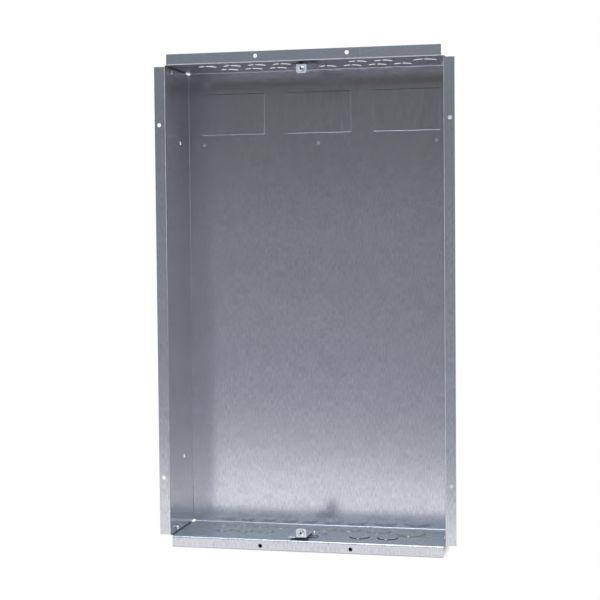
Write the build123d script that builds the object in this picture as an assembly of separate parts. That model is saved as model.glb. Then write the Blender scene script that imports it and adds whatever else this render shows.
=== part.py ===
from build123d import *
import math
import os

# Tray, folded from one sheet. The origin is the middle of the rear panel's outside face,
# +Y goes into the building's wall, +X is to the right and +Z is up.
inside_width = 380.0
inside_height = 645.0
overall_depth = 110.0
sheet = 1.0
bend_radius = 1.0
flange_width = 15.0

# Open corners: how far each fold stops short of its neighbour, and the round relief at the rear
side_wall_end_gap = 1.6
top_wall_end_gap = 2.5
corner_relief_diameter = 4.4
corner_relief_depth = 2.8

# Corner lugs of the top and bottom walls, folded outside the side walls
lug_height = 16.0
lug_front_gap = 6.0
lug_rear_gap = 9.0
lug_root = 8.0
lug_clearance = 0.15

# Holes in the flanges, the side walls and the rear panel
fixing_hole_diameter = 5.5
flange_hole_from_edge = 6.25
side_flange_hole_from_end = 80.5
top_flange_hole_spacing = 125.0
side_hole_from_end = 101.0
side_hole_from_front = 67.0
rear_hole_diameter = 5.0
rear_hole_from_top = 102.5
rear_hole_from_side = 23.0

# Rectangular knockouts of the rear panel, half sheared towards the front
panel_width = 94.0
panel_height = 58.0
panel_from_top = 30.5
panel_from_side = 18.0
panel_push = 0.6
panel_slit_width = 1.2
panel_tie_length = 2.0
panel_nick_length = 4.0
panel_nick_width = 1.2

# Round knockouts, sheared through and pushed inwards on two ties
knockout_push = 1.6
knockout_sides = 16
knockout_shear_gap = 0.15
knockout_tie_width = 2.5
knockout_tie_run = 1.5
knockout_land = 4.0
knockout_side_land = 25.0

# Top wall: two staggered rows of one size, and one larger knockout near the right side
top_row_diameter = 25.5
top_row_pitch = 35.0
top_front_row_from_front = 38.0
top_rear_row_from_rear = 29.0
top_rear_row_shift = 20.0
top_large_diameter = 32.0
top_large_from_side = 30.0
top_large_from_front = 46.0

# Bottom wall, left part: two staggered rows of small knockouts
small_row_diameter = 20.5
small_row_pitch = 30.5
small_row_from_side = 46.5
small_front_row_from_front = 53.0
small_rear_row_from_rear = 23.0

# Bottom wall, right part: middle, large and largest knockouts, placed from the right side
middle_diameter = 28.0
middle_rear_from_side = (178.0, 143.5)
middle_rear_from_rear = 25.0
middle_front_from_side = (122.5, 84.0)
middle_front_from_front = 42.0
large_diameter = 32.5
large_from_side = 103.0
large_from_rear = 28.0
largest_diameter = 40.5
largest_from_side = 57.0
largest_from_rear = 35.5

# Bottom wall: a pilot knockout beside the cover bracket
pilot_diameter = 15.0
pilot_from_screw = 18.0
pilot_from_front = 50.0

# Cover brackets: a raised plate, a foot stepped down to the wall and a lug turned inwards
bracket_thickness = 1.5
bracket_bend_radius = 0.5
bracket_from_front = 5.0
bracket_length = 39.0
bracket_stand_off = 3.0
bracket_plain_reach = 18.0
bracket_lug_width = 14.0
bracket_lug_top = 16.0
bracket_lug_corner = 2.0
bracket_lug_lean = 6.0
bracket_notch = 1.2
bracket_foot_reach = 17.0
bracket_foot_from_front = 24.0
bracket_foot_length = 17.0
bracket_knockout_clearance = 5.0
top_screw_x = 0.0
bottom_screw_x = -6.0

# Screws, bolts and nuts of the brackets
screw_diameter = 4.0
screw_head_diameter = 8.0
screw_head_height = 2.6
screw_fit = 0.05
cover_screw_height = 10.0
cover_screw_length = 14.0
bolt_from_screw = 12.0
bolt_from_front = 33.0
bolt_hole_diameter = 4.5
bolt_end = 2.5
nut_width = 7.0
nut_height = 3.2

# Blind rivets of the corners: tapered head outside, bulbed tail inside
rivet_diameter = 4.0
rivet_hole_diameter = 4.2
rivet_head_diameter = 8.0
rivet_head_top_diameter = 4.5
rivet_head_height = 1.3
rivet_tail_diameter = 5.6
rivet_tail_length = 4.5
rivet_from_front = 25.0
rivet_from_end = 7.0
rivet_sides = 8

# Flats round the screws, bolts, their holes and the corner relief
small_round_sides = 12

half_width = inside_width / 2
half_height = inside_height / 2
front = -overall_depth
rear_inside = -sheet


# A place on the inner face of the top or bottom wall, local +Z pointing into the box
def wall_place(wall, x, y):
    if wall == "top":
        return Pos(x, y, half_height) * Rot(Y=180)
    return Pos(x, y, -half_height)


# A bent sheet's section: the sheet lies to the left of the points, and every corner is a bend
def bent_section(points, thickness, radius):
    near = [Vector(*point) for point in points]
    legs = [(b - a).normalized() for a, b in zip(near, near[1:])]
    normals = [Vector(-leg.Y, leg.X) for leg in legs]
    middle = [
        p + (n + m) * (thickness / (1 + n.dot(m)))
        for p, n, m in zip(near[1:-1], normals, normals[1:])
    ]
    far = [near[0] + normals[0] * thickness, *middle, near[-1] + normals[-1] * thickness]
    left_turns = [n.cross(m).Z > 0 for n, m in zip(normals, normals[1:])]
    near_radii = [radius + thickness if left else radius for left in left_turns]
    far_radii = [radius if left else radius + thickness for left in left_turns]
    outline = [
        *FilletPolyline(*near, radius=near_radii).edges(),
        *FilletPolyline(*far, radius=far_radii).edges(),
        *Line(near[0], far[0]).edges(),
        *Line(near[-1], far[-1]).edges(),
    ]
    return make_face(outline)


def both_sides(shape, plane):
    return [shape, mirror(shape, about=plane)]


# A section for the many small round things: its flats touch a circle of the given diameter,
# and with a multiple of four sides some of them face along X and Y
def flat_sided_section(diameter, sides):
    return RegularPolygon(diameter / 2, sides, major_radius=False, rotation=180 / sides)


# A bar of that section from Z = low up to Z = high
def flat_sided_bar(diameter, sides, low, high):
    return extrude(Pos(0, 0, low) * flat_sided_section(diameter, sides), high - low)


def small_round_bar(diameter, low, high):
    return flat_sided_bar(diameter, small_round_sides, low, high)


# Rear panel, walls and flanges, with the corner lugs
def folded_tray():
    overlap = 4 * (bend_radius + sheet)
    rear = Pos(0, rear_inside / 2, 0) * Box(
        inside_width - overlap, sheet, inside_height - overlap
    )
    side_path = [
        (half_width - overlap, rear_inside),
        (half_width, rear_inside),
        (half_width, front),
        (half_width + flange_width, front),
    ]
    side_section = bent_section(side_path, sheet, bend_radius)
    side = extrude(side_section, half_height - side_wall_end_gap, both=True)
    top_path = [
        (front, half_height + flange_width),
        (front, half_height),
        (rear_inside, half_height),
        (rear_inside, half_height - overlap),
    ]
    top_section = Plane.YZ * bent_section(top_path, sheet, bend_radius)
    top = extrude(top_section, half_width - top_wall_end_gap, both=True)
    lug_face = half_width + sheet + lug_clearance
    lug_path = [
        (half_width - lug_root, half_height),
        (lug_face, half_height),
        (lug_face, half_height - lug_height),
    ]
    lug_start = Plane(origin=(0, -lug_rear_gap, 0), x_dir=(1, 0, 0), z_dir=(0, -1, 0))
    lug_section = lug_start * bent_section(lug_path, sheet, bend_radius)
    lug = extrude(lug_section, overall_depth - lug_front_gap - lug_rear_gap)
    top_with_lugs = top + both_sides(lug, Plane.YZ)
    tray = rear + both_sides(side, Plane.YZ) + both_sides(top_with_lugs, Plane.XY)
    relief = Rot(X=90) * small_round_bar(corner_relief_diameter, -sheet, corner_relief_depth)
    corners = [
        Pos(x, 0, z) * relief
        for x in (-half_width, half_width)
        for z in (-half_height, half_height)
    ]
    return tray - corners


# Screw holes through the flanges, the side walls, the rear panel and the corners
def fixing_holes():
    reach = 4 * sheet
    along_y = Rot(X=90) * Cylinder(fixing_hole_diameter / 2, reach)
    along_x = Rot(Y=90) * Cylinder(fixing_hole_diameter / 2, reach)
    rear_hole = Rot(X=90) * Cylinder(rear_hole_diameter / 2, reach)
    hole_x = half_width + flange_width - flange_hole_from_edge
    hole_z = half_height + flange_width - flange_hole_from_edge
    side_z = half_height - side_flange_hole_from_end
    wall_z = half_height - side_hole_from_end
    rear_x = half_width - rear_hole_from_side
    rivet_hole = Rot(Y=90) * flat_sided_bar(rivet_hole_diameter, rivet_sides, -reach, reach)
    holes = []
    for sign_x in (-1, 1):
        for sign_z in (-1, 1):
            holes += [
                Pos(sign_x * hole_x, front, sign_z * side_z) * along_y,
                Pos(sign_x * top_flange_hole_spacing / 2, front, sign_z * hole_z) * along_y,
                Pos(sign_x * half_width, front + side_hole_from_front, sign_z * wall_z) * along_x,
                Pos(
                    sign_x * (half_width + sheet),
                    front + rivet_from_front,
                    sign_z * (half_height - rivet_from_end),
                ) * rivet_hole,
            ]
    for x in (-rear_x, 0, rear_x):
        holes.append(Pos(x, 0, half_height - rear_hole_from_top) * rear_hole)
    return holes


# Half-sheared rectangular panel: pushed face with rolled edges and a recess behind. Its top edge is
# sheared through on both sides of a tie, and the other edges have a nick each
def rear_panel_knockouts():
    pitch = half_width - panel_from_side - panel_width / 2
    middle_z = half_height - panel_from_top - panel_height / 2
    face_plane = Plane(origin=(0, rear_inside, 0), x_dir=(1, 0, 0), z_dir=(0, -1, 0))
    raised = extrude(face_plane * Rectangle(panel_width, panel_height), panel_push, taper=45)
    inner_width = panel_width - 2 * panel_push
    inner_height = panel_height - 2 * panel_push
    recess = Pos(0, -panel_push / 2, 0) * Box(inner_width, panel_push, inner_height)
    wide_nick = Box(panel_nick_length, 4 * sheet, panel_nick_width)
    tall_nick = Box(panel_nick_width, 4 * sheet, panel_nick_length)
    slit_length = (panel_width - panel_tie_length) / 2
    slit_x = (panel_width - slit_length) / 2
    slit = Box(slit_length, 4 * sheet, panel_slit_width)
    cuts = [
        Pos(-slit_x, rear_inside, panel_height / 2) * slit,
        Pos(slit_x, rear_inside, panel_height / 2) * slit,
        Pos(0, rear_inside, -panel_height / 2) * wide_nick,
        Pos(panel_width / 2, rear_inside, 0) * tall_nick,
        Pos(-panel_width / 2, rear_inside, 0) * tall_nick,
    ]
    places = [Pos(step * pitch, 0, middle_z) for step in (-1, 0, 1)]
    added = [place * raised for place in places]
    removed = [place * tool for place in places for tool in [recess, *cuts]]
    return added, removed


# Where the knockouts of a wall go, as (x, y, diameter): clear of each other and of the bracket
class KnockoutLayout:
    def __init__(self, bracket_low, bracket_high):
        self.low = bracket_low - bracket_knockout_clearance
        self.high = bracket_high + bracket_knockout_clearance
        self.rear_edge = front + bracket_from_front + bracket_length + bracket_knockout_clearance
        self.placed = []

    def add(self, x, y, diameter):
        radius = diameter / 2
        beside = x + radius < self.low or x - radius > self.high
        behind = y - radius > self.rear_edge
        apart = all(
            math.hypot(x - other_x, y - other_y) > radius + other / 2 + knockout_land
            for other_x, other_y, other in self.placed
        )
        if apart and (beside or behind):
            self.placed.append((x, y, diameter))

    def add_row(self, first_x, pitch, y, diameter):
        limit = half_width - knockout_side_land - diameter / 2
        steps = math.ceil(inside_width / pitch)
        for step in range(-steps, steps + 1):
            x = first_x + step * pitch
            if abs(x) <= limit:
                self.add(x, y, diameter)


def top_knockouts():
    layout = KnockoutLayout(top_screw_x - bracket_foot_reach, top_screw_x + bracket_plain_reach)
    large_x = half_width - top_large_from_side
    layout.add(large_x, front + top_large_from_front, top_large_diameter)
    front_y = front + top_front_row_from_front
    rear_y = rear_inside - top_rear_row_from_rear
    layout.add_row(0, top_row_pitch, front_y, top_row_diameter)
    layout.add_row(top_rear_row_shift, top_row_pitch, rear_y, top_row_diameter)
    return layout


def bottom_knockouts():
    layout = KnockoutLayout(
        bottom_screw_x - bracket_plain_reach, bottom_screw_x + bracket_foot_reach
    )
    largest_x = half_width - largest_from_side
    layout.add(largest_x, rear_inside - largest_from_rear, largest_diameter)
    layout.add(half_width - large_from_side, rear_inside - large_from_rear, large_diameter)
    for from_side in middle_rear_from_side:
        layout.add(half_width - from_side, rear_inside - middle_rear_from_rear, middle_diameter)
    for from_side in middle_front_from_side:
        layout.add(half_width - from_side, front + middle_front_from_front, middle_diameter)
    rows = [
        (0, rear_inside - small_rear_row_from_rear),
        (small_row_pitch / 2, front + small_front_row_from_front),
    ]
    for shift, y in rows:
        x = small_row_from_side - half_width + shift
        while x < bottom_screw_x:
            layout.add(x, y, small_row_diameter)
            x += small_row_pitch
    pilot_x = bottom_screw_x + pilot_from_screw
    layout.placed.append((pilot_x, front + pilot_from_front, pilot_diameter))
    return layout


# One knockout on a wall's inner face, local +Z inwards: the disc and its two sloping ties
def knockout_disc(diameter):
    radius = diameter / 2
    inner = radius - knockout_tie_run
    low = knockout_push - sheet
    disc_diameter = diameter - 2 * knockout_shear_gap
    disc = flat_sided_bar(disc_diameter, knockout_sides, low, knockout_push)
    tie_outline = Polyline(
        (radius, -sheet), (radius, 0), (inner, knockout_push), (inner, low), close=True
    )
    tie = extrude(Plane.YZ * make_face(tie_outline), knockout_tie_width / 2, both=True)
    return disc + [tie, Rot(Z=180) * tie]


def knockouts(wall, layout):
    holes = []
    discs = []
    for x, y, diameter in layout.placed:
        place = wall_place(wall, x, y)
        holes.append(place * flat_sided_bar(diameter, knockout_sides, -2 * sheet, sheet))
        discs.append(place * knockout_disc(diameter))
    return holes, discs


# How far the bracket's lug leans towards the front at a given height
def lug_shift(height):
    return (height - bracket_stand_off) * math.tan(math.radians(bracket_lug_lean))


# The cover screw's seat on the lug's front face, local +Z going square into the lug
def cover_screw_seat():
    seat_y = bracket_from_front - lug_shift(cover_screw_height)
    return Pos(0, seat_y, cover_screw_height) * Rot(X=bracket_lug_lean - 90)


# Cover bracket, standing on its wall with the plain end towards -X
def cover_bracket():
    riser = bracket_lug_width / 2
    step_path = [
        (-bracket_plain_reach, bracket_stand_off),
        (riser - bracket_thickness, bracket_stand_off),
        (riser - bracket_thickness, 0),
        (bracket_foot_reach, 0),
    ]
    step_section = bent_section(step_path, bracket_thickness, bracket_bend_radius)
    foot_start = Plane(origin=(0, bracket_foot_from_front, 0), x_dir=(1, 0, 0), z_dir=(0, -1, 0))
    foot = extrude(foot_start * step_section, -bracket_foot_length)
    plate_depth = bracket_length - bracket_thickness - bracket_bend_radius
    plate_start = bracket_from_front + bracket_length - plate_depth
    plate_width = bracket_plain_reach + riser - bracket_thickness - bracket_bend_radius
    plate = Pos(-bracket_plain_reach, plate_start, bracket_stand_off) * Box(
        plate_width, plate_depth, bracket_thickness, align=(Align.MIN, Align.MIN, Align.MIN)
    )
    lip_width = bracket_plain_reach - bracket_lug_width / 2 - bracket_notch
    lip = Pos(-bracket_plain_reach, bracket_from_front, bracket_stand_off) * Box(
        lip_width, bracket_length, bracket_thickness, align=(Align.MIN, Align.MIN, Align.MIN)
    )
    lug_path = [
        (bracket_from_front - lug_shift(bracket_lug_top), bracket_lug_top),
        (bracket_from_front, bracket_stand_off),
        (bracket_foot_from_front, bracket_stand_off),
    ]
    lug_section = Plane.YZ * bent_section(lug_path, bracket_thickness, bracket_bend_radius)
    lug = extrude(lug_section, bracket_lug_width / 2, both=True)
    lug_end = lug.faces().sort_by(Axis.Z)[-1]
    lug_end_sides = lug_end.edges().sort_by(SortBy.LENGTH)[:2]
    lug = chamfer(lug_end_sides, bracket_lug_corner)
    reach = 2 * bracket_thickness
    screw_bar = small_round_bar(screw_diameter + 2 * screw_fit, -reach, reach)
    screw_hole = cover_screw_seat() * screw_bar
    bolt_bar = small_round_bar(bolt_hole_diameter, -reach, reach)
    bolt_hole = Pos(bolt_from_screw, bolt_from_front, 0) * bolt_bar
    return foot + [plate, lip, lug] - [screw_hole, bolt_hole]


# Pan-head screw: bearing face at Z = 0, shank towards +Z
def pan_head_screw(length):
    head = small_round_bar(screw_head_diameter, -screw_head_height, 0)
    return head + small_round_bar(screw_diameter, 0, length)


# Hexagon nut standing on Z = 0
def hexagon_nut():
    thread_diameter = screw_diameter + 2 * screw_fit
    prism = flat_sided_bar(nut_width, 6, 0, nut_height)
    return prism - small_round_bar(thread_diameter, 0, nut_height)


# Blind rivet: head bearing on Z = 0 from below, shank and tail towards +Z
def blind_rivet():
    grip = 2 * sheet + lug_clearance
    head_top = flat_sided_section(rivet_head_top_diameter, rivet_sides)
    head_base = flat_sided_section(rivet_head_diameter, rivet_sides)
    head = loft([Pos(0, 0, -rivet_head_height) * head_top, head_base])
    shank = flat_sided_bar(rivet_diameter, rivet_sides, 0, grip)
    tail = flat_sided_bar(rivet_tail_diameter, rivet_sides, grip, grip + rivet_tail_length)
    return head + [shank, tail]


def corner_rivets():
    outside = half_width + 2 * sheet + lug_clearance
    rivet = blind_rivet()
    places = []
    for sign_x in (-1, 1):
        for sign_z in (-1, 1):
            face = Plane(
                origin=(
                    sign_x * outside,
                    front + rivet_from_front,
                    sign_z * (half_height - rivet_from_end),
                ),
                x_dir=(0, 1, 0),
                z_dir=(-sign_x, 0, 0),
            )
            places.append(Location(face) * rivet)
    return places


back_box = folded_tray()
panel_added, panel_removed = rear_panel_knockouts()
top_holes, top_discs = knockouts("top", top_knockouts())
bottom_holes, bottom_discs = knockouts("bottom", bottom_knockouts())
bolt_length = sheet + bracket_thickness + nut_height + bolt_end
brackets = {}
cover_screws = []
bracket_bolts = []
bracket_nuts = []
bolt_holes = []
for wall, screw_x in {"top": top_screw_x, "bottom": bottom_screw_x}.items():
    place = wall_place(wall, screw_x, front)
    bolt_place = place * Pos(bolt_from_screw, bolt_from_front, 0)
    bolt_hole = small_round_bar(bolt_hole_diameter, -2 * sheet, sheet)
    brackets[wall] = place * cover_bracket()
    cover_screws.append(place * cover_screw_seat() * pan_head_screw(cover_screw_length))
    bracket_bolts.append(bolt_place * Pos(0, 0, -sheet) * pan_head_screw(bolt_length))
    bracket_nuts.append(bolt_place * Pos(0, 0, bracket_thickness) * hexagon_nut())
    bolt_holes.append(bolt_place * bolt_hole)

back_box += panel_added
back_box -= [*fixing_holes(), *panel_removed, *top_holes, *bottom_holes, *bolt_holes]
back_box += [*top_discs, *bottom_discs]

nodes = {
    "back_box": back_box,
    "top_cover_bracket": brackets["top"],
    "bottom_cover_bracket": brackets["bottom"],
    "cover_screws": Compound(cover_screws),
    "bracket_bolts": Compound(bracket_bolts),
    "bracket_nuts": Compound(bracket_nuts),
    "corner_rivets": Compound(corner_rivets()),
}
os.makedirs("parts", exist_ok=True)
for name, shape in nodes.items():
    export_step(shape, f"parts/{name}.step")
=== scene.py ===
import math
import bpy
from mathutils import Euler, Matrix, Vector


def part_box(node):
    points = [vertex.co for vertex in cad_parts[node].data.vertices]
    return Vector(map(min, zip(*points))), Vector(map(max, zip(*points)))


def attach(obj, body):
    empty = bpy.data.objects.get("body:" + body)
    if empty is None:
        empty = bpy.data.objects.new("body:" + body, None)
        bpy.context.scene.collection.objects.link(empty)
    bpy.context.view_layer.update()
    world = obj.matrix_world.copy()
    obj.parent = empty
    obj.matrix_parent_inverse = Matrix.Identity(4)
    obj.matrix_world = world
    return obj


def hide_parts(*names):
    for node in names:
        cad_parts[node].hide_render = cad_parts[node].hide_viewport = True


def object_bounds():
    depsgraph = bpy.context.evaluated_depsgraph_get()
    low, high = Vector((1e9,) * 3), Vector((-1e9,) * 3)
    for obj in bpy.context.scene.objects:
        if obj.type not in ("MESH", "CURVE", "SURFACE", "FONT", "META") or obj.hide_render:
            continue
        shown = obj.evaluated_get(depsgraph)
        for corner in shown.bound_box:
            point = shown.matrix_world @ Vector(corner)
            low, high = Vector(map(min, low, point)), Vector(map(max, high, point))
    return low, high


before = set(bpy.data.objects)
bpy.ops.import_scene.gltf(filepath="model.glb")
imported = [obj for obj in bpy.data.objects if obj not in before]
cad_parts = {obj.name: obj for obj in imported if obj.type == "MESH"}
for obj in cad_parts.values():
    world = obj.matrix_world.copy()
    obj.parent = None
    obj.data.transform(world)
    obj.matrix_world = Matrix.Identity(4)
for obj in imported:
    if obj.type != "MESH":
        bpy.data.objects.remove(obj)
solid_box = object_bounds()
bpy.context.scene.view_settings.view_transform = "Standard"


# Back box: one galvanised steel sheet, sheared, half sheared at the knockouts and folded up.
# The zinc shows a fine upright grain and faint crystals, with soft smudges from handling, and has
# painted shade in its narrow slits and tight corners. Its edge tint, fitted to the photo, dulls it
# at grazing angles.
sheet_colour = (0.72, 0.725, 0.75, 1.0)
sheet_roughness = 0.19
sheet_metal_share = 0.80
sheet_edge_tint = (0.62, 0.62, 0.62)
sheet_bump = 0.000003
grain_pitch = 0.0011
grain_length = 0.008
spangle_size = 0.013
smudge_size = 0.11
painted_shade_reach = 0.003


def add_node(tree, kind, inputs=None, **settings):
    new = tree.nodes.new(kind)
    for name, value in settings.items():
        setattr(new, name, value)
    for socket, value in (inputs or {}).items():
        if isinstance(value, bpy.types.NodeSocket):
            tree.links.new(value, new.inputs[socket])
        else:
            new.inputs[socket].default_value = value
    return new


def maths(tree, operation, first, second):
    return add_node(tree, "ShaderNodeMath", {0: first, 1: second}, operation=operation).outputs[0]


def node_group(name, kind, inputs, outputs):
    tree = bpy.data.node_groups.new(name, kind)
    for label, (socket_type, value) in inputs.items():
        socket = tree.interface.new_socket(label, in_out="INPUT", socket_type=socket_type)
        if value is not None:
            socket.default_value = value
    for label, socket_type in outputs.items():
        tree.interface.new_socket(label, in_out="OUTPUT", socket_type=socket_type)
    entry = tree.nodes.new("NodeGroupInput")
    exit_node = tree.nodes.new("NodeGroupOutput")
    return tree, entry.outputs, exit_node.inputs


# Grain, crystals and smudges change the colour and, by a small share, the roughness. Painted shade
# darkens the colour: fully where less than the shut share of the nearby sky is open, and not at
# all where more than the open share is.
def zinc_surface_group():
    roughness_share = 0.1
    shade_full_below = 0.3
    shade_none_above = 0.8
    tree, given, result = node_group(
        "zinc_surface",
        "ShaderNodeTree",
        {
            "Colour": ("NodeSocketColor", (0.6, 0.6, 0.6, 1.0)),
            "Roughness": ("NodeSocketFloat", 0.4),
            "Grain Pitch": ("NodeSocketFloat", 0.001),
            "Grain Length": ("NodeSocketFloat", 0.01),
            "Grain Strength": ("NodeSocketFloat", 0.1),
            "Spangle Size": ("NodeSocketFloat", 0.01),
            "Spangle Strength": ("NodeSocketFloat", 0.05),
            "Smudge Size": ("NodeSocketFloat", 0.1),
            "Smudge Strength": ("NodeSocketFloat", 0.05),
            "Painted Shade Reach": ("NodeSocketFloat", 0.006),
            "Painted Shade Strength": ("NodeSocketFloat", 0.7),
        },
        {
            "Colour": "NodeSocketColor",
            "Roughness": "NodeSocketFloat",
            "Height": "NodeSocketFloat",
        },
    )

    def math_node(operation, first, second):
        return maths(tree, operation, first, second)

    def centred(value, strength):
        return math_node("MULTIPLY", math_node("SUBTRACT", value, 0.5), strength)

    place = add_node(tree, "ShaderNodeTexCoord").outputs["Object"]
    across = math_node("DIVIDE", 1.0, given["Grain Pitch"])
    along = math_node("DIVIDE", 1.0, given["Grain Length"])
    stretch = add_node(tree, "ShaderNodeCombineXYZ", {"X": across, "Y": across, "Z": along})
    grain_place = add_node(
        tree, "ShaderNodeVectorMath", {0: place, 1: stretch.outputs[0]}, operation="MULTIPLY"
    )
    grain = add_node(
        tree,
        "ShaderNodeTexNoise",
        {"Vector": grain_place.outputs[0], "Scale": 1.0, "Detail": 3.0, "Roughness": 0.6},
    )
    spangle_scale = math_node("DIVIDE", 1.0, given["Spangle Size"])
    spangle = add_node(
        tree, "ShaderNodeTexVoronoi", {"Vector": place, "Scale": spangle_scale}, feature="F1"
    )
    spangle_value = add_node(tree, "ShaderNodeSeparateColor", {0: spangle.outputs["Color"]})
    smudge_scale = math_node("DIVIDE", 1.0, given["Smudge Size"])
    smudge = add_node(
        tree,
        "ShaderNodeTexNoise",
        {"Vector": place, "Scale": smudge_scale, "Detail": 4.0, "Roughness": 0.55},
    )
    grain_part = centred(grain.outputs[0], given["Grain Strength"])
    spangle_part = centred(spangle_value.outputs[0], given["Spangle Strength"])
    smudge_part = centred(smudge.outputs[0], given["Smudge Strength"])
    change = math_node("ADD", math_node("ADD", grain_part, spangle_part), smudge_part)
    # Painted shade: the less sky is open within reach, the darker the colour
    painted_shade_sky = add_node(
        tree, "ShaderNodeAmbientOcclusion", {"Distance": given["Painted Shade Reach"]}, samples=8
    )
    painted_shade_share = add_node(
        tree,
        "ShaderNodeMapRange",
        {
            "Value": painted_shade_sky.outputs["AO"],
            "From Min": shade_full_below,
            "From Max": shade_none_above,
            "To Min": 1.0,
            "To Max": 0.0,
        },
    ).outputs[0]
    painted_shade_factor = math_node("SUBTRACT", 1.0, math_node("MULTIPLY", painted_shade_share, given["Painted Shade Strength"]))
    shade = math_node("MULTIPLY", math_node("ADD", change, 1.0), painted_shade_factor)
    coloured = add_node(
        tree, "ShaderNodeVectorMath", {0: given["Colour"], 1: shade}, operation="MULTIPLY"
    )
    tree.links.new(coloured.outputs[0], result["Colour"])
    smoother = math_node("MULTIPLY", change, roughness_share)
    roughness = math_node("SUBTRACT", given["Roughness"], smoother)
    tree.links.new(roughness, result["Roughness"])
    tree.links.new(grain.outputs[0], result["Height"])
    return tree


zinc_surface = zinc_surface_group()


def zinc_material(name, group_values, bump_distance, metal_share=1.0, edge_tint=(1, 1, 1)):
    material = bpy.data.materials.new(name)
    material.use_nodes = True
    tree = material.node_tree
    shader = tree.nodes["Principled BSDF"]
    shader.inputs["Metallic"].default_value = metal_share
    shader.inputs["Specular Tint"].default_value = (*edge_tint, 1.0)
    surface = add_node(tree, "ShaderNodeGroup", node_tree=zinc_surface)
    for label, value in group_values.items():
        surface.inputs[label].default_value = value
    bump = add_node(
        tree,
        "ShaderNodeBump",
        {"Height": surface.outputs["Height"], "Distance": bump_distance, "Strength": 1.0},
    )
    tree.links.new(surface.outputs["Colour"], shader.inputs["Base Color"])
    tree.links.new(surface.outputs["Roughness"], shader.inputs["Roughness"])
    tree.links.new(bump.outputs["Normal"], shader.inputs["Normal"])
    return material


galvanised_sheet = zinc_material(
    "galvanised_sheet",
    {
        "Colour": sheet_colour,
        "Roughness": sheet_roughness,
        "Grain Pitch": grain_pitch,
        "Grain Length": grain_length,
        "Grain Strength": 0.75,
        "Spangle Size": spangle_size,
        "Spangle Strength": 0.06,
        "Smudge Size": smudge_size,
        "Smudge Strength": 0.06,
        "Painted Shade Reach": painted_shade_reach,
        "Painted Shade Strength": 0.75,
    },
    bump_distance=sheet_bump,
    metal_share=sheet_metal_share,
    edge_tint=sheet_edge_tint,
)
back_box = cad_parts["back_box"]
back_box.data.materials.clear()
back_box.data.materials.append(galvanised_sheet)


# Corner rivets: aluminium blind rivets pulled through the corner lug and the side wall.
# Outside each has a low domed head with the broken mandrel sunk in it, inside a swollen tail.
rivet_head_radius = 0.004
rivet_head_height = 0.0013
rivet_rim = 0.0002
rivet_shank_radius = 0.002
rivet_grip = 0.00215
rivet_tail_radius = 0.0028
rivet_tail_length = 0.0045
rivet_mandrel_radius = 0.0011
rivet_colour = (0.70, 0.71, 0.73, 1.0)
rivet_bump = 0.00001
rivet_sizes = {
    "Head Radius": rivet_head_radius,
    "Head Height": rivet_head_height,
    "Rim": rivet_rim,
    "Shank Radius": rivet_shank_radius,
    "Grip": rivet_grip,
    "Tail Radius": rivet_tail_radius,
    "Tail Length": rivet_tail_length,
    "Mandrel Radius": rivet_mandrel_radius,
}
sharp_edge_angle = math.radians(32)


def fastener_tree(name, sizes):
    inputs = {"Places": ("NodeSocketGeometry", None)}
    inputs.update({label: ("NodeSocketFloat", value) for label, value in sizes.items()})
    inputs["Finish"] = ("NodeSocketMaterial", None)
    return node_group(name, "GeometryNodeTree", inputs, {"Fasteners": "NodeSocketGeometry"})


def shape_tools(tree):
    def number(operation, first, second):
        return maths(tree, operation, first, second)

    def triple(x=0.0, y=0.0, z=0.0):
        return add_node(tree, "ShaderNodeCombineXYZ", {"X": x, "Y": y, "Z": z}).outputs[0]

    def moved(shape, z):
        return add_node(
            tree, "GeometryNodeTransform", {"Geometry": shape, "Translation": triple(z=z)}
        ).outputs[0]

    # A bar from Z = low to Z = low + length
    def bar(radius, low, length, sides=32):
        cylinder = add_node(
            tree,
            "GeometryNodeMeshCylinder",
            {"Vertices": sides, "Radius": radius, "Depth": length},
        )
        middle = number("ADD", low, number("MULTIPLY", length, 0.5))
        return moved(cylinder.outputs["Mesh"], middle)

    def ball(radius, height_radius, z):
        sphere = add_node(
            tree, "GeometryNodeMeshUVSphere", {"Segments": 32, "Rings": 24, "Radius": 1.0}
        )
        scaled = add_node(
            tree,
            "GeometryNodeTransform",
            {"Geometry": sphere.outputs["Mesh"], "Scale": triple(radius, radius, height_radius)},
        )
        return moved(scaled.outputs[0], z)

    def common(*shapes):
        both = add_node(tree, "GeometryNodeMeshBoolean", operation="INTERSECT")
        for shape in shapes:
            tree.links.new(shape, both.inputs["Mesh 2"])
        return both.outputs["Mesh"]

    def without(shape, *tools):
        cut = add_node(tree, "GeometryNodeMeshBoolean", {"Mesh 1": shape}, operation="DIFFERENCE")
        for tool in tools:
            tree.links.new(tool, cut.inputs["Mesh 2"])
        return cut.outputs["Mesh"]

    def joined(*shapes):
        join = add_node(tree, "GeometryNodeJoinGeometry")
        for shape in shapes:
            tree.links.new(shape, join.inputs["Geometry"])
        return join.outputs["Geometry"]

    return number, triple, bar, ball, common, without, joined


# One fastener at each place, its local +Z along the place's facing
def place_fasteners(tree, shape, given, result):
    facing = add_node(
        tree, "GeometryNodeInputNamedAttribute", {"Name": "facing"}, data_type="FLOAT_VECTOR"
    )
    turned = add_node(
        tree,
        "FunctionNodeAlignRotationToVector",
        {"Vector": facing.outputs["Attribute"]},
        axis="Z",
    )
    placed = add_node(
        tree,
        "GeometryNodeInstanceOnPoints",
        {"Points": given["Places"], "Instance": shape, "Rotation": turned.outputs[0]},
    )
    real = add_node(tree, "GeometryNodeRealizeInstances", {"Geometry": placed.outputs[0]})
    finished = add_node(
        tree,
        "GeometryNodeSetMaterial",
        {"Geometry": real.outputs[0], "Material": given["Finish"]},
    )
    tree.links.new(finished.outputs[0], result["Fasteners"])


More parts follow.
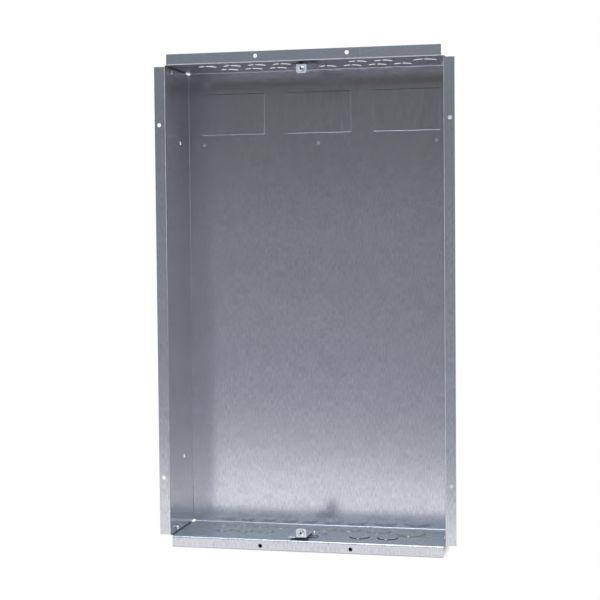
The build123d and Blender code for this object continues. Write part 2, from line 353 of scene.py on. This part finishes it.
# Runs the tree on (place, facing) pairs and keeps the result as one plain mesh
def make_fasteners(name, tree, places, sizes, finish):
    mesh = bpy.data.meshes.new(name + "_places")
    mesh.from_pydata([place for place, facing in places], [], [])
    attribute = mesh.attributes.new("facing", "FLOAT_VECTOR", "POINT")
    for point, (place, facing) in zip(attribute.data, places):
        point.vector = facing
    piece = bpy.data.objects.new(name, mesh)
    bpy.context.scene.collection.objects.link(piece)
    modifier = piece.modifiers.new("fasteners", "NODES")
    modifier.node_group = tree
    for item in tree.interface.items_tree:
        if item.in_out == "INPUT" and item.name in sizes:
            modifier[item.identifier] = sizes[item.name]
        if item.in_out == "INPUT" and item.name == "Finish":
            modifier[item.identifier] = finish
    evaluated = piece.evaluated_get(bpy.context.evaluated_depsgraph_get())
    solid = bpy.data.meshes.new_from_object(evaluated)
    piece.modifiers.clear()
    piece.data = solid
    solid.name = name
    for polygon in solid.polygons:
        polygon.use_smooth = True
    solid.set_sharp_from_angle(angle=sharp_edge_angle)
    return piece


# The mandrel breaks off below the top of the head, in a mouth a little wider than itself. The
# tail's barrel is widest near its middle, and the mandrel's stub sticks out of it.
def blind_rivet_tree():
    mouth_floor_share = 0.45
    mouth_width_share = 1.15
    mandrel_floor_share = 0.4
    mandrel_height_share = 0.3
    barrel_length_share = 0.86
    barrel_middle_share = 0.45
    barrel_swell_share = 0.72
    stub_length_share = 0.3
    tree, given, result = fastener_tree("blind_rivets", rivet_sizes)
    number, _, bar, ball, common, without, joined = shape_tools(tree)
    head_height = given["Head Height"]
    mandrel_radius = given["Mandrel Radius"]
    crown = number("SUBTRACT", head_height, given["Rim"])
    radius_square = number("POWER", given["Head Radius"], 2.0)
    squares = number("ADD", radius_square, number("POWER", crown, 2.0))
    dome_radius = number("DIVIDE", squares, number("MULTIPLY", crown, 2.0))
    dome_centre = number("SUBTRACT", head_height, dome_radius)
    blank = bar(given["Head Radius"], 0.0, head_height, sides=48)
    dome = common(blank, ball(dome_radius, dome_radius, dome_centre))
    mouth_radius = number("MULTIPLY", mandrel_radius, mouth_width_share)
    mouth_low = number("MULTIPLY", head_height, mouth_floor_share)
    head = without(dome, bar(mouth_radius, mouth_low, head_height))
    mandrel_low = number("MULTIPLY", head_height, mandrel_floor_share)
    mandrel_height = number("MULTIPLY", head_height, mandrel_height_share)
    mandrel = bar(mandrel_radius, mandrel_low, mandrel_height, sides=20)
    tail_top = number("MULTIPLY", given["Grip"], -1.0)
    shank = bar(given["Shank Radius"], tail_top, given["Grip"])
    barrel_length = number("MULTIPLY", given["Tail Length"], barrel_length_share)
    barrel_low = number("SUBTRACT", tail_top, barrel_length)
    barrel_drop = number("MULTIPLY", barrel_length, barrel_middle_share)
    barrel_middle = number("SUBTRACT", tail_top, barrel_drop)
    barrel_swell = number("MULTIPLY", barrel_length, barrel_swell_share)
    barrel = common(
        bar(given["Tail Radius"], barrel_low, barrel_length),
        ball(given["Tail Radius"], barrel_swell, barrel_middle),
    )
    stub_low = number("SUBTRACT", tail_top, given["Tail Length"])
    stub_length = number("MULTIPLY", given["Tail Length"], stub_length_share)
    stub = bar(mandrel_radius, stub_low, stub_length, sides=20)
    place_fasteners(tree, joined(head, mandrel, shank, barrel, stub), given, result)
    return tree


# Faint painted shade darkens the rivets next to the sheet and in the mandrel's mouth.
rivet_aluminium = zinc_material(
    "rivet_aluminium",
    {
        "Colour": rivet_colour,
        "Roughness": 0.3,
        "Grain Pitch": 0.0006,
        "Grain Length": 0.0009,
        "Grain Strength": 0.12,
        "Spangle Size": 0.004,
        "Spangle Strength": 0.02,
        "Smudge Size": 0.006,
        "Smudge Strength": 0.10,
        "Painted Shade Strength": 0.15,
    },
    bump_distance=rivet_bump,
)
rivets_low, rivets_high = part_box("corner_rivets")
rivet_y = (rivets_low.y + rivets_high.y) / 2
rivet_places = []
for side in (-1, 1):
    for end in (-1, 1):
        rivet_x = side * (rivets_high.x - rivet_head_height)
        rivet_z = end * (rivets_high.z - rivet_head_radius)
        rivet_places.append(((rivet_x, rivet_y, rivet_z), (side, 0, 0)))
corner_rivets = make_fasteners(
    "blind_rivets",
    blind_rivet_tree(),
    rivet_places,
    rivet_sizes,
    rivet_aluminium,
)
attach(corner_rivets, "root")
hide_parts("corner_rivets")


# Cover brackets: small steel brackets, blanked, folded and bright zinc plated, one bolted to the
# top wall and one to the bottom wall, each with a lug turned up for a cover screw.
# Strong painted shade darkens the bracket zinc where nearby parts close off the sky, as in the gap
# under its plate.
bracket_colour = (0.66, 0.67, 0.69, 1.0)
bracket_bump = 0.000008
bracket_zinc = zinc_material(
    "bracket_zinc",
    {
        "Colour": bracket_colour,
        "Roughness": 0.18,
        "Grain Pitch": 0.0009,
        "Grain Length": 0.002,
        "Grain Strength": 0.10,
        "Spangle Size": 0.006,
        "Spangle Strength": 0.03,
        "Smudge Size": 0.012,
        "Smudge Strength": 0.16,
        "Painted Shade Reach": 0.006,
        "Painted Shade Strength": 1.0,
    },
    bump_distance=bracket_bump,
)
for bracket_name in ("top_cover_bracket", "bottom_cover_bracket"):
    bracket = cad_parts[bracket_name]
    bracket.data.materials.clear()
    bracket.data.materials.append(bracket_zinc)


# Cover screws and bracket bolts: pan-head machine screws with a cross recess, rolled thread and
# bright zinc plate. The cover screws wait in the lugs; the bolts go through wall and bracket foot.
screw_head_radius = 0.004
screw_head_height = 0.0026
screw_radius = 0.002
thread_pitch = 0.0007
recess_length = 0.0050
recess_width = 0.0014
recess_depth = 0.0018
cover_screw_length = 0.014
cover_screw_lean = math.radians(6)
bolt_end = 0.0025
nut_height = 0.0032
screw_colour = (0.88, 0.89, 0.90, 1.0)
screw_bump = 0.000006
screw_sizes = {
    "Head Radius": screw_head_radius,
    "Head Height": screw_head_height,
    "Shank Radius": screw_radius,
    "Shank Length": cover_screw_length,
    "Thread Pitch": thread_pitch,
    "Recess Length": recess_length,
    "Recess Width": recess_width,
    "Recess Depth": recess_depth,
}


# The head is a slice of a ball with a cross cut in its top, the thread a spiral ridge on a core
def pan_head_tree():
    dome_share = 1.5
    thread_depth_share = 0.6
    ridge_share = 0.55
    tree, given, result = fastener_tree("pan_head_screws", screw_sizes)
    number, triple, bar, ball, common, without, joined = shape_tools(tree)
    dome_radius = number("MULTIPLY", given["Head Radius"], dome_share)
    dome_centre = number("SUBTRACT", given["Head Height"], dome_radius)
    blank = bar(given["Head Radius"], 0.0, given["Head Height"], sides=48)
    dome = common(blank, ball(dome_radius, dome_radius, dome_centre))
    tall = number("MULTIPLY", given["Recess Depth"], 2.0)
    slots = []
    for size in (
        triple(given["Recess Length"], given["Recess Width"], tall),
        triple(given["Recess Width"], given["Recess Length"], tall),
    ):
        cube = add_node(tree, "GeometryNodeMeshCube", {"Size": size})
        lifted = add_node(
            tree,
            "GeometryNodeTransform",
            {"Geometry": cube.outputs["Mesh"], "Translation": triple(z=given["Head Height"])},
        )
        slots.append(lifted.outputs[0])
    head = without(dome, *slots)
    thread_depth = number("MULTIPLY", given["Thread Pitch"], thread_depth_share)
    core_radius = number("SUBTRACT", given["Shank Radius"], thread_depth)
    tail = number("MULTIPLY", given["Shank Length"], -1.0)
    core = bar(core_radius, tail, given["Shank Length"], sides=24)
    turns = number("DIVIDE", given["Shank Length"], given["Thread Pitch"])
    ridge_size = number("MULTIPLY", given["Thread Pitch"], ridge_share)
    ridge_path_radius = number("SUBTRACT", given["Shank Radius"], ridge_size)
    path = add_node(
        tree,
        "GeometryNodeCurveSpiral",
        {
            "Resolution": 24,
            "Rotations": turns,
            "Start Radius": ridge_path_radius,
            "End Radius": ridge_path_radius,
            "Height": number("SUBTRACT", given["Shank Length"], given["Thread Pitch"]),
        },
    )
    section = add_node(
        tree, "GeometryNodeCurvePrimitiveCircle", {"Resolution": 4, "Radius": ridge_size}
    )
    ridge = add_node(
        tree,
        "GeometryNodeCurveToMesh",
        {"Curve": path.outputs[0], "Profile Curve": section.outputs[0], "Fill Caps": True},
    )
    half_pitch = number("MULTIPLY", given["Thread Pitch"], 0.5)
    thread = add_node(
        tree,
        "GeometryNodeTransform",
        {"Geometry": ridge.outputs[0], "Translation": triple(z=number("ADD", tail, half_pitch))},
    )
    place_fasteners(tree, joined(head, core, thread.outputs[0]), given, result)
    return tree


pan_head_screws = pan_head_tree()
# Painted shade darkens the screws in their cross recesses, in the thread roots and where a head
# meets its lug.
screw_zinc = zinc_material(
    "screw_zinc",
    {
        "Colour": screw_colour,
        "Roughness": 0.2,
        "Grain Pitch": 0.0005,
        "Grain Length": 0.0008,
        "Grain Strength": 0.08,
        "Spangle Size": 0.004,
        "Spangle Strength": 0.02,
        "Smudge Size": 0.005,
        "Smudge Strength": 0.14,
        "Painted Shade Reach": 0.002,
        "Painted Shade Strength": 0.9,
    },
    bump_distance=screw_bump,
)
screws_low, screws_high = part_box("cover_screws")
lean_out = math.cos(cover_screw_lean)
lean_up = math.sin(cover_screw_lean)
screw_y = screws_low.y + screw_head_height * lean_out + screw_head_radius * lean_up
screw_rise = screw_head_height * lean_up + screw_head_radius * lean_out
top_screw = (screws_high.x - screw_head_radius, screw_y, screws_high.z - screw_rise)
bottom_screw = (screws_low.x + screw_head_radius, screw_y, screws_low.z + screw_rise)
cover_screws = make_fasteners(
    "pan_head_cover_screws",
    pan_head_screws,
    [(top_screw, (0, -lean_out, lean_up)), (bottom_screw, (0, -lean_out, -lean_up))],
    screw_sizes,
    screw_zinc,
)
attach(cover_screws, "root")
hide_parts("cover_screws")

nuts_low, nuts_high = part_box("bracket_nuts")
bolts_low, bolts_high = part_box("bracket_bolts")
bolt_y = (bolts_low.y + bolts_high.y) / 2
wall_outside = bolts_high.z - screw_head_height
bolt_length = wall_outside - (nuts_high.z - nut_height - bolt_end)
top_bolt = (bolts_low.x + screw_head_radius, bolt_y, wall_outside)
bottom_bolt = (bolts_high.x - screw_head_radius, bolt_y, -wall_outside)
bracket_bolts = make_fasteners(
    "pan_head_bracket_bolts",
    pan_head_screws,
    [(top_bolt, (0, 0, 1)), (bottom_bolt, (0, 0, -1))],
    {**screw_sizes, "Shank Length": bolt_length},
    screw_zinc,
)
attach(bracket_bolts, "root")
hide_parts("bracket_bolts")


# Bracket nuts: hexagon nuts, cold formed with chamfered corners and bright zinc plated, run down
# on the bolts inside the box to clamp the bracket feet.
nut_width = 0.007
nut_sizes = {"Width": nut_width, "Height": nut_height, "Hole Radius": screw_radius}


# A six-sided bar, its corners trimmed by a flattened ball
def hexagon_nut_tree():
    trim_width_share = 1.10
    trim_height_share = 0.9
    tree, given, result = fastener_tree("hexagon_nuts", nut_sizes)
    number, _, bar, ball, common, without, _ = shape_tools(tree)
    corner_radius = number("DIVIDE", given["Width"], 2 * math.cos(math.radians(30)))
    prism = bar(corner_radius, 0.0, given["Height"], sides=6)
    middle = number("MULTIPLY", given["Height"], 0.5)
    trimmed = common(
        prism,
        ball(
            number("MULTIPLY", corner_radius, trim_width_share),
            number("MULTIPLY", given["Height"], trim_height_share),
            middle,
        ),
    )
    bore_low = number("MULTIPLY", middle, -1.0)
    bore_length = number("MULTIPLY", given["Height"], 2.0)
    bore = bar(given["Hole Radius"], bore_low, bore_length, sides=24)
    place_fasteners(tree, without(trimmed, bore), given, result)
    return tree


top_nut = (nuts_low.x + nut_width / 2, bolt_y, nuts_high.z)
bottom_nut = (nuts_high.x - nut_width / 2, bolt_y, nuts_low.z)
bracket_nuts = make_fasteners(
    "hexagon_bracket_nuts",
    hexagon_nut_tree(),
    [(top_nut, (0, 0, -1)), (bottom_nut, (0, 0, 1))],
    nut_sizes,
    screw_zinc,
)
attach(bracket_nuts, "root")
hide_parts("bracket_nuts")


# Floor: the white studio table that the box stands on. Its light falls off towards the front
# right, which shows in the steel as a long gradient. To the camera it is white, and dark only
# under the box.
floor_z = solid_box[0][2]
floor_front = 9.0
floor_back = 3.0
floor_half_width = 6.0
falloff_turn = math.radians(20)
falloff_length = 8.0
falloff_bands = (
    (0.00, (0.99, 0.99, 1.00)),
    (0.32, (0.96, 0.96, 1.00)),
    (0.42, (0.85, 0.85, 0.88)),
    (0.50, (0.735, 0.735, 0.77)),
    (0.60, (0.605, 0.61, 0.655)),
    (0.72, (0.505, 0.515, 0.57)),
    (0.85, (0.435, 0.455, 0.515)),
    (1.05, (0.375, 0.395, 0.455)),
    (1.30, (0.33, 0.345, 0.41)),
    (1.65, (0.295, 0.31, 0.37)),
    (2.50, (0.25, 0.27, 0.32)),
    (4.10, (0.225, 0.24, 0.29)),
    (8.00, (0.205, 0.22, 0.265)),
)
plain_white = (1.0, 1.0, 1.0, 1.0)
floor_paint_colour = (0.2, 0.2, 0.2, 1.0)
shadow_reach = 0.06
shadow_full = 0.08
shadow_none = 0.45
floor_corners = (
    (-floor_half_width, -floor_front),
    (floor_half_width, -floor_front),
    (floor_half_width, floor_back),
    (-floor_half_width, floor_back),
)
floor_mesh = bpy.data.meshes.new("floor")
floor_mesh.from_pydata([(x, y, floor_z) for x, y in floor_corners], [], [(0, 1, 2, 3)])
floor = bpy.data.objects.new("floor", floor_mesh)
bpy.context.scene.collection.objects.link(floor)
floor_white = bpy.data.materials.new("floor_white")
floor_white.use_nodes = True
floor_tree = floor_white.node_tree
floor_tree.nodes.remove(floor_tree.nodes["Principled BSDF"])


# A colour ramp whose stops are (position, colour) pairs between two ends
def colour_bands(tree, value, low, high, bands):
    share = add_node(
        tree, "ShaderNodeMapRange", {"Value": value, "From Min": low, "From Max": high}
    )
    ramp = add_node(tree, "ShaderNodeValToRGB", {"Fac": share.outputs[0]})
    stops = ramp.color_ramp.elements
    for index, (position, colour) in enumerate(bands):
        stop = stops[index] if index < len(stops) else stops.new(1.0)
        stop.position = (position - low) / (high - low)
        stop.color = (*colour, 1.0)
    return ramp.outputs["Color"]


def mix_colours(tree, share, first, second, blend="MIX"):
    return add_node(
        tree,
        "ShaderNodeMixRGB",
        {"Fac": share, "Color1": first, "Color2": second},
        blend_type=blend,
    ).outputs[0]


floor_place = add_node(floor_tree, "ShaderNodeTexCoord").outputs["Object"]
falloff_way = (math.sin(falloff_turn), -math.cos(falloff_turn), 0.0)
falloff = add_node(
    floor_tree, "ShaderNodeVectorMath", {0: floor_place, 1: falloff_way}, operation="DOT_PRODUCT"
)
mirrored_floor = colour_bands(
    floor_tree, falloff.outputs["Value"], low=0.0, high=falloff_length, bands=falloff_bands
)
floor_rays = add_node(floor_tree, "ShaderNodeLightPath").outputs
under_box = add_node(
    floor_tree, "ShaderNodeAmbientOcclusion", {"Distance": shadow_reach}, samples=16
)
open_floor = add_node(
    floor_tree,
    "ShaderNodeMapRange",
    {"Value": under_box.outputs["AO"], "From Min": shadow_full, "From Max": shadow_none},
    interpolation_type="SMOOTHSTEP",
)
floor_shown = mix_colours(floor_tree, floor_rays["Is Glossy Ray"], plain_white, mirrored_floor)
floor_colour = mix_colours(
    floor_tree, 1.0, floor_shown, open_floor.outputs[0], blend="MULTIPLY"
)
floor_glow = add_node(floor_tree, "ShaderNodeEmission", {"Color": floor_colour, "Strength": 1.0})
floor_paint = add_node(floor_tree, "ShaderNodeBsdfDiffuse", {"Color": floor_paint_colour})
camera_or_glossy = maths(
    floor_tree, "MAXIMUM", floor_rays["Is Camera Ray"], floor_rays["Is Glossy Ray"]
)
seen_floor = maths(
    floor_tree, "MAXIMUM", camera_or_glossy, floor_rays["Is Transmission Ray"]
)
floor_mix = add_node(
    floor_tree,
    "ShaderNodeMixShader",
    {0: seen_floor, 1: floor_paint.outputs[0], 2: floor_glow.outputs[0]},
)
floor_tree.links.new(
    floor_mix.outputs[0], floor_tree.nodes["Material Output"].inputs["Surface"]
)
floor_mesh.materials.append(floor_white)


# Backing card: a grey glowing sheet close behind the box, standing in for the shade seen through
# its rear holes and slits, with a painted shadow at the top. It is clear from behind and to short
# rays, so that the rear panel's outside doesn't mirror it.
card_gap = 0.002
card_short_ray = 0.05
card_half_width = 0.18
card_top = 0.31
card_shadow_from = 0.245
card_shadow_to = 0.275
card_grey_level = (0.20, 0.20, 0.205, 1.0)
card_shadow_level = (0.035, 0.035, 0.035, 1.0)
card_mesh = bpy.data.meshes.new("painted_shade_card")
card_mesh.from_pydata(
    [
        (-card_half_width, card_gap, floor_z),
        (card_half_width, card_gap, floor_z),
        (card_half_width, card_gap, card_top),
        (-card_half_width, card_gap, card_top),
    ],
    [],
    [(0, 1, 2, 3)],
)
painted_shade_card = bpy.data.objects.new("painted_shade_card", card_mesh)
bpy.context.scene.collection.objects.link(painted_shade_card)
painted_shade_grey = bpy.data.materials.new("painted_shade_grey")
painted_shade_grey.use_nodes = True
card_tree = painted_shade_grey.node_tree
card_tree.nodes.remove(card_tree.nodes["Principled BSDF"])
card_place = add_node(card_tree, "ShaderNodeTexCoord").outputs["Object"]
card_height = add_node(card_tree, "ShaderNodeSeparateXYZ", {0: card_place}).outputs["Z"]
card_shadow = add_node(
    card_tree,
    "ShaderNodeMapRange",
    {"Value": card_height, "From Min": card_shadow_from, "From Max": card_shadow_to},
).outputs[0]
card_colour = mix_colours(card_tree, card_shadow, card_grey_level, card_shadow_level)
card_front = add_node(card_tree, "ShaderNodeEmission", {"Color": card_colour, "Strength": 1.0})
card_clear = add_node(card_tree, "ShaderNodeBsdfTransparent")
card_side = add_node(card_tree, "ShaderNodeNewGeometry").outputs["Backfacing"]
card_reach = add_node(card_tree, "ShaderNodeLightPath").outputs["Ray Length"]
card_near = maths(card_tree, "LESS_THAN", card_reach, card_short_ray)
card_unseen = maths(card_tree, "MAXIMUM", card_side, card_near)
card_mix = add_node(
    card_tree,
    "ShaderNodeMixShader",
    {0: card_unseen, 1: card_front.outputs[0], 2: card_clear.outputs[0]},
)
card_tree.links.new(card_mix.outputs[0], card_tree.nodes["Material Output"].inputs["Surface"])
card_mesh.materials.append(painted_shade_grey)


# Room: white behind the box; in front of it, where the camera stands, a dim room with a bright
# bluish band above. To the camera itself all of it is white. A wide soft lamp hangs overhead and a
# weaker one stands on each side.
room_bands = (
    (-0.15, (0.27, 0.285, 0.34)),
    (-0.05, (0.24, 0.25, 0.295)),
    (0.00, (0.205, 0.21, 0.235)),
    (0.03, (0.165, 0.158, 0.145)),
    (0.06, (0.10, 0.088, 0.062)),
    (0.09, (0.04, 0.032, 0.015)),
    (0.16, (0.02, 0.016, 0.01)),
    (0.21, (0.62, 0.74, 0.94)),
    (0.28, (0.80, 0.92, 1.0)),
    (0.45, (0.66, 0.77, 0.94)),
    (0.57, (0.40, 0.46, 0.56)),
    (0.68, (0.14, 0.155, 0.18)),
)
white_from = -0.15
white_to = 0.35
world = bpy.data.worlds.new("studio")
bpy.context.scene.world = world
world.use_nodes = True
world_tree = world.node_tree
direction = add_node(world_tree, "ShaderNodeTexCoord").outputs["Generated"]
direction_parts = add_node(world_tree, "ShaderNodeSeparateXYZ", {0: direction}).outputs
front_room = colour_bands(
    world_tree, direction_parts["Z"], low=-1.0, high=1.0, bands=room_bands
)
behind = add_node(
    world_tree,
    "ShaderNodeMapRange",
    {"Value": direction_parts["Y"], "From Min": white_from, "From Max": white_to},
    interpolation_type="SMOOTHSTEP",
)
room = mix_colours(world_tree, behind.outputs[0], front_room, plain_white)
room_rays = add_node(world_tree, "ShaderNodeLightPath").outputs
clear_ray = maths(
    world_tree, "MAXIMUM", room_rays["Is Camera Ray"], room_rays["Is Transmission Ray"]
)
shown = mix_colours(world_tree, clear_ray, room, plain_white)
world_tree.links.new(shown, world_tree.nodes["Background"].inputs["Color"])


def soft_lamp(name, place, aim, size, power, colour):
    data = bpy.data.lights.new(name, "AREA")
    data.color = colour
    data.shape = "SQUARE"
    data.size = size
    data.energy = power
    lamp = bpy.data.objects.new(name, data)
    lamp.location = place
    lamp.rotation_euler = (Vector(aim) - Vector(place)).to_track_quat("-Z", "Y").to_euler()
    bpy.context.scene.collection.objects.link(lamp)


soft_lamp(
    "overhead_lamp",
    place=(0.2, -0.5, 2.2),
    aim=(0, -0.2, -0.3),
    size=2.4,
    power=85,
    colour=(0.78, 0.89, 1.0),
)
soft_lamp(
    "left_lamp",
    place=(-2.2, -0.6, 0.7),
    aim=(0, 0, 0),
    size=1.6,
    power=5,
    colour=(1.0, 1.0, 1.0),
)
soft_lamp(
    "right_lamp",
    place=(2.2, -0.3, 0.7),
    aim=(0, 0, 0),
    size=1.6,
    power=7,
    colour=(1.0, 1.0, 1.0),
)


# Camera: a long lens a little to the right of the box and just above its middle, placed to give
# the photograph's perspective and framing.
camera_place = Vector((0.43047, -1.98538, 0.09322))
camera_aim = Vector((-0.00370, -0.110, 0.00372))
camera_roll = math.radians(-0.521)
sensor_width = 36.0
focal_length = 86.23
camera_data = bpy.data.cameras.new("camera")
camera_data.sensor_width = sensor_width
camera_data.lens = focal_length
camera = bpy.data.objects.new("camera", camera_data)
camera_turn = (camera_aim - camera_place).to_track_quat("-Z", "Y")
camera.location = camera_place
camera.rotation_euler = (camera_turn @ Euler((0, 0, camera_roll)).to_quaternion()).to_euler()
bpy.context.scene.collection.objects.link(camera)
bpy.context.scene.camera = camera
